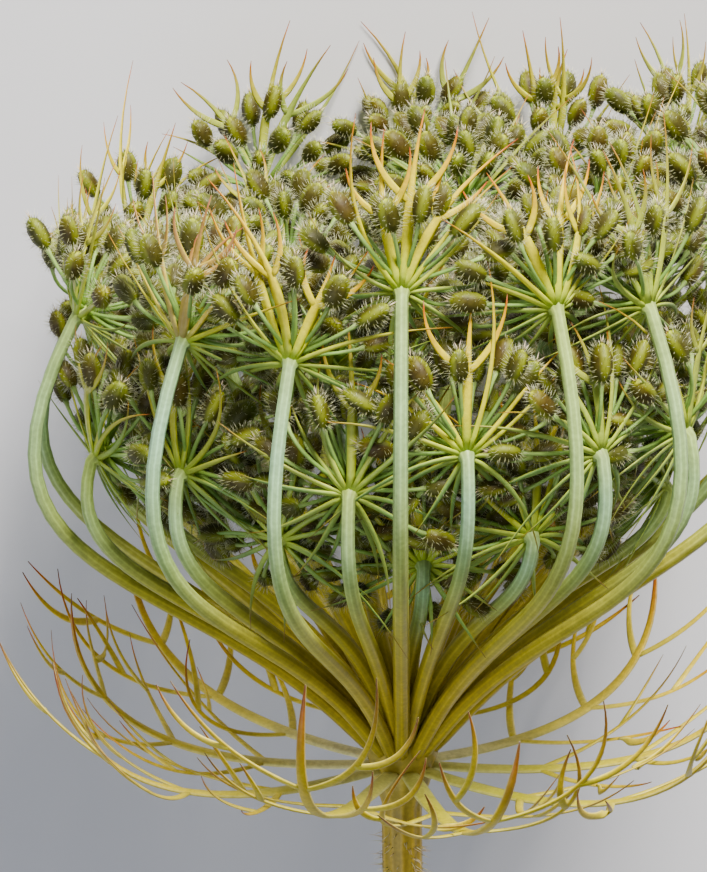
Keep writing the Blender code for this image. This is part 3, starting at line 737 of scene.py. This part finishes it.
def spread_out(starts, blocks):
    """Fruits pushed apart, and off the rays, until they have room, but never far from where they started."""
    spots = starts.copy()
    for _ in range(SPREAD_ROUNDS):
        apart = spots[:, None] - spots[None]
        gaps = np.linalg.norm(apart, axis=-1) + 1e3 * np.eye(len(spots))
        push = np.clip(2 * FRUIT_SPACE - gaps, 0, None) / gaps
        moved = 0.5 * (push[..., None] * apart).sum(axis=1)
        apart = spots[:, None] - blocks[None]
        gaps = np.linalg.norm(apart, axis=-1)
        push = np.clip(FRUIT_SPACE + RAY_SPACE - gaps, 0, None) / gaps
        moved += (push[..., None] * apart).sum(axis=1) / np.maximum((push > 0).sum(axis=1), 1)[:, None]
        spots = spots + np.clip(moved, -SPREAD_STEP, SPREAD_STEP)
        away = spots - starts
        distance = np.maximum(np.linalg.norm(away, axis=-1), 1e-6)
        spots = starts + away * np.minimum(1, FRUIT_SHIFT / distance)[:, None]
        spots[:, 2] = np.maximum(spots[:, 2], FRUIT_SPACE)
    return spots


def unit_fruit():
    """A fruit of size 1 about Z: rings of points from its foot to its tip, ribbed all round, and a pole at
    each end. Its radius is a power of the sine of the way along it."""
    phi = np.pi * np.linspace(0, 1, FRUIT_STEPS + 2)[1:-1]
    turn = np.arange(FRUIT_CORNERS) * 2 * np.pi / FRUIT_CORNERS
    swell = 1 - FRUIT_RIB_DEPTH * (np.arange(FRUIT_CORNERS) % 2)
    radius = np.sin(phi) ** FRUIT_ROUNDNESS
    ring = radius[:, None] * swell
    z = np.broadcast_to(-np.cos(phi)[:, None], ring.shape)
    points = np.stack([ring * np.cos(turn), ring * np.sin(turn), z], axis=-1).reshape(-1, 3)
    ids = np.arange(len(points)).reshape(FRUIT_STEPS, FRUIT_CORNERS)
    after = np.roll(ids, -1, axis=1)
    foot, tip = np.full((2, FRUIT_CORNERS), len(points)) + [[0], [1]]
    points = np.concatenate([points, [(0, 0, -1.0), (0, 0, FRUIT_BEAK)]])
    foot_cap = np.stack([after[0], ids[0], foot], axis=-1)
    tip_cap = np.stack([ids[-1], after[-1], tip], axis=-1)
    v = phi / np.pi
    low = np.arange(FRUIT_CORNERS) / FRUIT_CORNERS
    high = low + 1 / FRUIT_CORNERS
    middle = low + 0.5 / FRUIT_CORNERS
    cap_u = np.concatenate([np.stack([high, low, middle], axis=-1), np.stack([low, high, middle], axis=-1)])
    cap_v = np.repeat([(v[0], v[0], 0.0), (v[-1], v[-1], 1.0)], FRUIT_CORNERS, axis=0)
    caps = np.concatenate([foot_cap, tip_cap]), np.stack([cap_u, cap_v], axis=-1)
    return points, [wall_faces(ids, v), caps]


def fruit_frames(ways, rng):
    """Three unit directions for each fruit: two across it, turned at random, and the one along it."""
    side = square_to(rng.normal(size=ways.shape), ways)
    return np.stack([side, np.cross(ways, side), ways], axis=1)


def fruit_shell(centres, frames, scales, tones):
    """All the fruits of an umbellet: the unit fruit stretched along each fruit's three directions."""
    unit_points, unit_faces = unit_fruit()
    stretch = scales[:, None] * FRUIT_HALF
    points = centres[:, None] + np.einsum("pk,fk,fkc->fpc", unit_points, stretch, frames)
    faces = repeated(unit_faces, len(centres), len(unit_points))
    return points.reshape(-1, 3), faces, np.repeat(tones, len(unit_points))


def fruit_bristles(centres, frames, scales, rng):
    """Bristles in staggered rows all over each fruit, square to its skin and leaning a little to its tip."""
    row, column = np.meshgrid(np.arange(BRISTLE_ROWS), np.arange(BRISTLES_ROUND), indexing="ij")
    phi = np.pi * (row.ravel() + 1.1) / (BRISTLE_ROWS + 1.4)
    turn = 2 * np.pi * (column.ravel() + 0.5 * (row.ravel() % 2)) / BRISTLES_ROUND
    count = (len(centres), len(phi))
    phi = phi + rng.normal(0, BRISTLE_SCATTER[0], count)
    turn = turn + rng.normal(0, BRISTLE_SCATTER[1], count)
    radius = np.clip(np.sin(phi), 0.05, 1) ** FRUIT_ROUNDNESS
    spot = np.stack([radius * np.cos(turn), radius * np.sin(turn), -np.cos(phi)], axis=-1)
    stretch = scales[:, None] * FRUIT_HALF
    roots = centres[:, None] + BRISTLE_ROOT * np.einsum("fpk,fk,fkc->fpc", spot, stretch, frames)
    ways = np.einsum("fpk,fk,fkc->fpc", spot, 1 / stretch, frames)
    ways = unit(ways) + BRISTLE_LEAN * frames[:, None, 2] + rng.normal(0, BRISTLE_SCATTER[2], (*count, 3))
    ways = unit(ways)
    lengths = BRISTLE_LENGTH * rng.uniform(*BRISTLE_LENGTHS, count)
    return spikes(roots.reshape(-1, 3), ways.reshape(-1, 3), lengths.ravel(), BRISTLE_THICKNESS)


def fruit_styles(centres, frames, scales):
    """The two dried styles at each fruit's tip, which part like a fork."""
    across, along = frames[:, 0], frames[:, 2]
    roots = centres + STYLE_ROOT * (scales * FRUIT_HALF[2])[:, None] * along
    ways = np.concatenate([along + STYLE_FORK * across, along - STYLE_FORK * across])
    return spikes(np.concatenate([roots, roots]), ways, STYLE_LENGTH, STYLE_THICKNESS, STYLE_TONE)


def fruit_stalks(k, centres, ways, scales):
    """A stalk from the node to each fruit's foot: a curve blended from three guide points, the middle one
    straight below the fruit, so that the stalk meets it straight."""
    feet = centres - STALK_END * (scales * FRUIT_HALF[2])[:, None] * ways
    start = tips[k] + STALK_FOOT * axes[k] + 0.45 * unit(feet - tips[k] - NODE_MIDDLE * axes[k])
    guide = feet - STALK_BEND * np.linalg.norm(feet - start, axis=1)[:, None] * ways
    s = np.linspace(0, 1, STALK_STEPS)[None, :, None]
    paths = (1 - s) ** 2 * start[:, None] + 2 * s * (1 - s) * guide[:, None] + s**2 * feet[:, None]
    thick = np.interp(s[0, :, 0], STALK_TAPER_AT, STALK_TAPER) * STALK_HALF
    halves = np.broadcast_to(np.stack([thick, thick], axis=-1), (*paths.shape[:2], 2))
    flats = square_to(np.broadcast_to(axes[k], ways.shape), unit(feet - start))[:, None]
    return tubes(paths, halves, flats, 6)


fruit_starts = [first_fruits(k, np.random.default_rng([SEED, FRUIT_DRAWS + k])) for k in range(UMBELLETS)]
fruit_spots = spread_out(np.concatenate(fruit_starts), ray_lines[:, RAY_STEPS_AT_DOME:].reshape(-1, 3))
fruit_spots = np.split(fruit_spots, np.cumsum([len(starts) for starts in fruit_starts])[:-1])

stalk_finish = limb_finish("fruit_stalk", (
    (0.0, seen(130, 160, 46)),
    (0.4, seen(116, 154, 66)),
    (1.0, seen(146, 174, 90)),
), roughness=0.5, amount=0.3)


def build_fruit_finish():
    """The skin of a fruit: brown in the middle and green at its tip, its foot and two rims, with blotches."""
    material = limb_finish("fruit_skin", (
        (0.0, seen(112, 118, 16)),
        (0.2, seen(76, 66, 6)),
        (0.55, seen(64, 48, 6)),
        (0.85, seen(104, 96, 8)),
        (1.0, seen(184, 190, 20)),
    ), (
        (0.0, seen(98, 116, 24)),
        (0.25, seen(66, 70, 8)),
        (0.6, seen(58, 60, 6)),
        (0.85, seen(92, 106, 12)),
        (1.0, seen(174, 190, 36)),
    ), roughness=0.55, amount=0.45)
    tree = material.node_tree
    skin = tree.nodes["Principled BSDF"].inputs["Base Color"]
    base = skin.links[0].from_socket
    parts = add_node(tree, "ShaderNodeSeparateXYZ", i0=tree.nodes["UV Map"].outputs[0]).outputs
    rim = add_range(tree, add_wave(tree, parts[0], 2), (0.1, 1.0), (0.0, 0.75))
    tree.links.new(add_mix(tree, rim, base, seen(126, 136, 18)), skin)
    return material


fruit_finish = build_fruit_finish()


def fruit_shells(k, rng):
    """An umbellet's fruits with their stalks, bristles and styles."""
    centres = fruit_spots[k]
    ways = unit(centres - tips[k] - NODE_MIDDLE * axes[k])
    ways = unit(ways + FRUIT_LIFT * axes[k] + rng.normal(0, FRUIT_SCATTER, centres.shape))
    frames = fruit_frames(ways, rng)
    scales = rng.uniform(*FRUIT_SCALES, len(centres))
    return [
        (fruit_stalks(k, centres, ways, scales), stalk_finish),
        (fruit_shell(centres, frames, scales, rng.uniform(0, 1, len(centres))), fruit_finish),
        (fruit_bristles(centres, frames, scales, rng), bristle_finish),
        (fruit_styles(centres, frames, scales), bristle_finish),
    ]


# The bracteoles: fifteen narrow leaves in a whorl round each umbellet's node. The upper ones are long, turn
# yellow with orange tips, and fork in three, most of all on the rim. The lower ones are green, and curl down
# to dark tips. WARMTH says how yellow an umbellet's are, and past 1 it adds a pink blush.
UMBELLET_DRAWS = 200
BRACTEOLE_DRAWS = 500
BRACTEOLES = 15
BRACTEOLE_STEPS = 11
BRACTEOLE_LENGTH = (12.0, 7.0)
BRACTEOLE_LENGTHS = (0.78, 1.1)
BRACTEOLE_POLAR = (50, 102)
BRACTEOLE_SCATTER = (7, 9)
BRACTEOLE_FOOT = (0.45, 0.6)
UPPER_BEND = 0.14
LOWER_BEND = (-0.5, 0.2)
BEND_SCATTER = 0.12
CURL_SCATTER = 0.24
BRACTEOLE_TONES = (-0.1, 0.2)
BRACTEOLE_HALF = (0.12, 0.27)
BRACTEOLE_TAPER = (0.9, 1.0, 0.8, 0.08)
BRACTEOLE_TAPER_AT = (0, 0.1, 0.5, 1)
FORKED_HALF = (0.13, 0.5)
FORKED_TAPER = (0.7, 0.75, 1.0, 0.62, 0.06)
FORKED_TAPER_AT = (0, 0.1, 0.45, 0.55, 1)
FORKED_ABOVE = {"rim": 0.9, "wall": 0.98, "low": 0.98, "inner": 0.98, "heart": 0.98}
FORK_STEPS = 9
FORK_ROOT = 5
FORK_LENGTH = (0.36, 0.5)
FORK_SPREAD = (0.8, 1.3)
FORK_TAPER = (0.55, 0.6, 0.06)
FORK_TAPER_AT = (0, 0.3, 1)
FORK_COLOUR_FROM = 0.5
USUAL_WARMTH = (0.15, 0.6)
WARMTH = {
    ("rim", 1): 0.5,
    ("rim", 2): 1.6,
    ("rim", 3): 0.9,
    ("rim", 4): 0.9,
    ("rim", 5): 0.9,
    ("wall", 4): 0.9,
}

bracteole_finish = limb_finish("bracteole_blade", (
    (0.0, seen(160, 180, 60)),
    (0.35, seen(116, 154, 78)),
    (0.8, seen(104, 138, 66)),
    (0.93, seen(130, 100, 24)),
    (1.0, seen(90, 28, 14)),
), (
    (0.0, seen(150, 182, 30)),
    (0.25, seen(218, 210, 0)),
    (0.65, seen(220, 200, 0)),
    (0.88, seen(214, 156, 0)),
    (0.96, seen(186, 72, 0)),
    (1.0, seen(100, 24, 6)),
), blush=seen(168, 110, 100), roughness=0.42, amount=0.3, margin=seen(206, 210, 40))


def bracteole_paths(k, psi, up, rng):
    """The paths, lengths and flat ways of a whorl. A path of length L is L (s way + s^2 bend + s^3 curl) over
    its share s. The upper ones stand up and bend in towards the umbellet's axis, the lower ones bend down."""
    scatter = rng.uniform(-BRACTEOLE_SCATTER[1], BRACTEOLE_SCATTER[1], BRACTEOLES)
    upright = max(TIERS[umbellets[k][0]]["face"] + 4, BRACTEOLE_POLAR[0])
    polar = BRACTEOLE_POLAR[1] + (upright - BRACTEOLE_POLAR[1]) * up + scatter
    polar = np.radians(polar)[:, None]
    lengths = BRACTEOLE_LENGTH[1] + (BRACTEOLE_LENGTH[0] - BRACTEOLE_LENGTH[1]) * up
    lengths = (lengths * rng.uniform(*BRACTEOLE_LENGTHS, BRACTEOLES))[:, None, None]
    across = np.cos(psi)[:, None] * uppers[k] + np.sin(psi)[:, None] * sides[k]
    ways = np.cos(polar) * axes[k] + np.sin(polar) * across
    downwards = LOWER_BEND[0] * uppers[k] + LOWER_BEND[1] * axes[k]
    bends = np.where(up[:, None] > 0.5, UPPER_BEND * axes[k], downwards)
    bends = bends + rng.normal(0, BEND_SCATTER, (BRACTEOLES, 3))
    curls = np.cross(ways, axes[k]) * rng.normal(0, CURL_SCATTER, (BRACTEOLES, 1))
    s = np.linspace(0, 1, BRACTEOLE_STEPS)[None, :, None]
    start = tips[k] + BRACTEOLE_FOOT[0] * axes[k] + BRACTEOLE_FOOT[1] * across
    paths = start[:, None] + lengths * (s * ways[:, None] + s**2 * bends[:, None] + s**3 * curls[:, None])
    return paths, lengths, np.cross(axes[k], across)[:, None]


def fork_lobes(paths, lengths, flats, tones, rng):
    """Two side lobes for each forked bracteole, which leave it half way up and bend back to its own way."""
    roots = np.repeat(paths[:, FORK_ROOT], 2, axis=0)
    along = unit(np.repeat(paths[:, FORK_ROOT + 1] - paths[:, FORK_ROOT - 1], 2, axis=0))
    away = np.repeat(flats[:, 0], 2, axis=0) * np.tile([1.0, -1.0], len(paths))[:, None]
    reach = (np.repeat(lengths[:, 0, 0], 2) * rng.uniform(*FORK_LENGTH, len(roots)))[:, None, None]
    spread = rng.uniform(*FORK_SPREAD, (len(roots), 1)) * away
    s = np.linspace(0, 1, FORK_STEPS)[None, :, None]
    curve = s * (0.8 * along + spread)[:, None] + s**2 * (0.2 * along - 0.5 * spread)[:, None]
    lobes = lifted(roots[:, None] + reach * curve, LOBE_LIE)
    taper = np.interp(s[0, :, 0], FORK_TAPER_AT, FORK_TAPER)
    halves = np.stack([taper * FORKED_HALF[1], taper * FORKED_HALF[0]], axis=-1)
    halves = np.broadcast_to(halves, (*lobes.shape[:2], 2))
    points, faces, tones = tubes(lobes, halves, away[:, None], 6, np.repeat(tones, 2))
    return points, later_part(faces, FORK_COLOUR_FROM), tones


def bracteole_shells(k, rng):
    """The whorl of bracteoles: simple ones, and the forked ones, which are broader, with their side lobes.
    How far up one stands is 1 on the umbellet's upper side and 0 on its lower side."""
    tier, number, _ = umbellets[k]
    warmth = WARMTH.get((tier, number), rng.uniform(*USUAL_WARMTH))
    scatter = rng.uniform(-BRACTEOLE_SCATTER[0], BRACTEOLE_SCATTER[0], BRACTEOLES)
    psi = np.radians(360 / BRACTEOLES * np.arange(BRACTEOLES) + scatter)
    up = 0.5 + 0.5 * np.cos(psi)
    paths, lengths, flats = bracteole_paths(k, psi, up, rng)
    forked = up > FORKED_ABOVE[tier]
    shares = np.linspace(0, 1, BRACTEOLE_STEPS)
    plain = np.interp(shares, BRACTEOLE_TAPER_AT, BRACTEOLE_TAPER)
    broad = np.interp(shares, FORKED_TAPER_AT, FORKED_TAPER)
    widths = np.where(forked[:, None], broad * FORKED_HALF[1], plain * BRACTEOLE_HALF[1])
    depths = np.broadcast_to(plain, widths.shape) * BRACTEOLE_HALF[0]
    halves = np.stack([widths, depths], axis=-1)
    tones = warmth * np.clip((up - 0.5) / 0.4, 0, 1) + rng.uniform(*BRACTEOLE_TONES, BRACTEOLES)
    shells = [(tubes(lifted(paths, LOBE_LIE), halves, flats, 5, tones), bracteole_finish)]
    if forked.any():
        lobes = fork_lobes(paths[forked], lengths[forked], flats[forked], tones[forked], rng)
        shells.append((lobes, bracteole_finish))
    return shells


for k, (tier, number, _) in enumerate(umbellets):
    rng = np.random.default_rng([SEED, UMBELLET_DRAWS + k])
    leaf_rng = np.random.default_rng([SEED, BRACTEOLE_DRAWS + k])
    shells = [(ray_shell(k, rng), ray_finish)] + fruit_shells(k, rng) + bracteole_shells(k, leaf_rng)
    make_piece(f"{tier}_umbellet_{number:02d}", shells, f"umbellet_{tier}_{number:02d}")

# The stage: a plain pale floor that the head lies on, soft studio lamps, and a camera that looks down on the
# side that faces up, 16 degrees from square to the head's axis and towards its open end.
FLOOR_REACH = 2.0
FLOOR_COLOUR = (208, 208, 216)
CAMERA_RISE = 16.0
CAMERA_DISTANCE = 380.0
SENSOR_HEIGHT = 36.0
PIXELS_PER_MM = 11.5
FRAME_PIXELS = (707, 872)
RECEPTACLE_PIXEL = (402, 748)
LIT_HEIGHT = 28.0
LAMPS = {
    "key": dict(spot=(110.0, 430.0, 240.0), size=150.0, power=8.4, colour=(1.0, 0.95, 0.84)),
    "fill": dict(spot=(-260.0, -160.0, 420.0), size=400.0, power=1.5, colour=(0.9, 0.95, 1.0)),
}
SKY_COLOUR = (0.85, 0.9, 1.0, 1.0)
SKY_STRENGTH = 0.15


def make_floor():
    """A wide flat sheet under the head."""
    mesh = bpy.data.meshes.new("floor")
    corners = [(x * FLOOR_REACH, y * FLOOR_REACH, 0) for x, y in ((-1, -1), (1, -1), (1, 1), (-1, 1))]
    mesh.from_pydata(corners, [], [(0, 1, 2, 3)])
    material = bpy.data.materials.new("floor_paper")
    material.use_nodes = True
    shader = material.node_tree.nodes["Principled BSDF"]
    shader.inputs["Base Color"].default_value = seen(*FLOOR_COLOUR)
    shader.inputs["Roughness"].default_value = 0.9
    mesh.materials.append(material)
    floor = bpy.data.objects.new("floor", mesh)
    bpy.context.scene.collection.objects.link(floor)


def make_camera():
    """A long lens whose middle pixel looks where the photo's does, on a plane through the head's axis."""
    rise = np.radians(CAMERA_RISE)
    right = np.array([1.0, 0.0, 0.0])
    up = tilted((0.0, np.cos(rise), -np.sin(rise)))
    back = tilted((0.0, np.sin(rise), np.cos(rise)))
    off = [FRAME_PIXELS[0] / 2 - RECEPTACLE_PIXEL[0], RECEPTACLE_PIXEL[1] - FRAME_PIXELS[1] / 2]
    target = HOME + (off[0] * right + off[1] * up) / PIXELS_PER_MM
    data = bpy.data.cameras.new("camera")
    data.sensor_fit = "VERTICAL"
    data.sensor_height = SENSOR_HEIGHT
    data.lens = SENSOR_HEIGHT * PIXELS_PER_MM * CAMERA_DISTANCE / FRAME_PIXELS[1]
    camera = bpy.data.objects.new("camera", data)
    turn = Matrix(np.stack([right, up, back], axis=1).tolist()).to_4x4()
    camera.matrix_world = Matrix.Translation(Vector((target + CAMERA_DISTANCE * back) * MM)) @ turn
    bpy.context.scene.collection.objects.link(camera)
    bpy.context.scene.camera = camera


def make_lamp(name, spot, size, power, colour):
    """A square soft lamp at a spot in millimetres, which faces the middle of the head."""
    data = bpy.data.lights.new(name, "AREA")
    data.size = size * MM
    data.energy = power
    data.color = colour
    lamp = bpy.data.objects.new(name, data)
    middle = Vector(tilted((0.0, LIT_HEIGHT, 0.0)) + HOME) * MM
    lamp.location = Vector(spot) * MM
    lamp.rotation_euler = (lamp.location - middle).to_track_quat("Z", "Y").to_euler()
    bpy.context.scene.collection.objects.link(lamp)


def make_sky():
    """The even light of the studio all round."""
    world = bpy.data.worlds.new("studio")
    world.use_nodes = True
    background = world.node_tree.nodes["Background"]
    background.inputs["Color"].default_value = SKY_COLOUR
    background.inputs["Strength"].default_value = SKY_STRENGTH
    bpy.context.scene.world = world


make_floor()
make_camera()
for name, lamp in LAMPS.items():
    make_lamp(name, **lamp)
make_sky()
